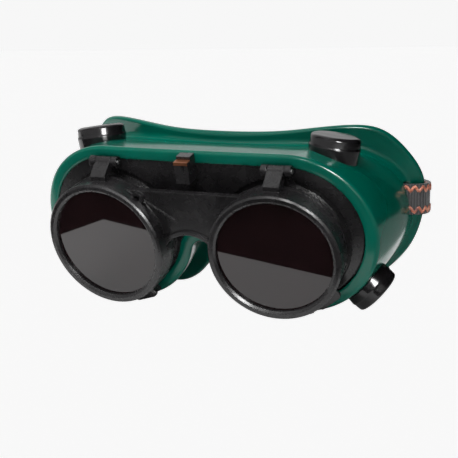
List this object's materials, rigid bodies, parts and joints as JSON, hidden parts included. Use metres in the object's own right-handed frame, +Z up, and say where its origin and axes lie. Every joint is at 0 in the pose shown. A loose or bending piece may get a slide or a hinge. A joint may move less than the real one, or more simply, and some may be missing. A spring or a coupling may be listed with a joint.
{
  "type": "welding goggles",
  "caption": "Flip-front welding goggles: a soft face mask with a rigid front, a hinged frame of round shade lenses over clear ones, vents and an elastic headband.",
  "frame": {"origin": "middle of the bottom of the box round the closed goggles as they rest on a flat surface", "axes": "+X to the wearer's left, which is the right of the front view; +Y from the lenses towards the wearer; +Z up; the lens plane leans 17 degrees forward at the top, so the lenses face slightly down"},
  "size_m": [0.1646, 0.1052, 0.0787],
  "materials": {
    "body_green": "gloss",
    "frame_black": "satin",
    "flip_black": "satin",
    "ring_black": "satin",
    "vent_black": "gloss",
    "slider_black": "satin",
    "shade_glass": "gloss",
    "clear_glass": "gloss",
    "pin_steel": "satin",
    "leaf_bronze": "satin",
    "band_webbing": "matte"
  },
  "bodies": {
    "goggle_body": {"body_shell": "body_green", "front_frame": "frame_black", "detent_spring": "leaf_bronze", "headband": "band_webbing", "clear_lens_left": "clear_glass", "clear_lens_ring_left": "ring_black", "hinge_pin_left": "pin_steel", "vent_cap_upper_left": "vent_black", "vent_seat_upper_left": "vent_black", "vent_cap_lower_left": "vent_black", "vent_seat_lower_left": "vent_black", "clear_lens_right": "clear_glass", "clear_lens_ring_right": "ring_black", "hinge_pin_right": "pin_steel", "vent_cap_upper_right": "vent_black", "vent_seat_upper_right": "vent_black", "vent_cap_lower_right": "vent_black", "vent_seat_lower_right": "vent_black"},
    "flip_front": {"flip_frame": "flip_black", "shade_lens_left": "shade_glass", "shade_lens_right": "shade_glass"},
    "shade_ring_left": {"shade_ring_left": "ring_black"},
    "shade_ring_right": {"shade_ring_right": "ring_black"},
    "slider": {"headband_slider": "slider_black"}
  },
  "joints": [
    {"name": "flip_hinge", "type": "hinge", "parent": "goggle_body", "child": "flip_front", "pos_m": [0, -0.04182, 0.0634], "axis": [-1, 0, 0], "range_deg": [0, 107]},
    {"name": "ring_turn_left", "type": "hinge", "parent": "flip_front", "child": "shade_ring_left", "pos_m": [-0.03699, -0.03598, 0.0312], "axis": [0.0785, 0.9534, 0.2915], "range_deg": [0, 35]},
    {"name": "ring_turn_right", "type": "hinge", "parent": "flip_front", "child": "shade_ring_right", "pos_m": [0.03699, -0.03598, 0.0312], "axis": [0.0785, -0.9534, -0.2915], "range_deg": [0, 35]},
    {"name": "slider_slide", "type": "slide", "parent": "goggle_body", "child": "slider", "axis": [1, 0, 0], "range_m": [-0.02, 0.008]}
  ]
}
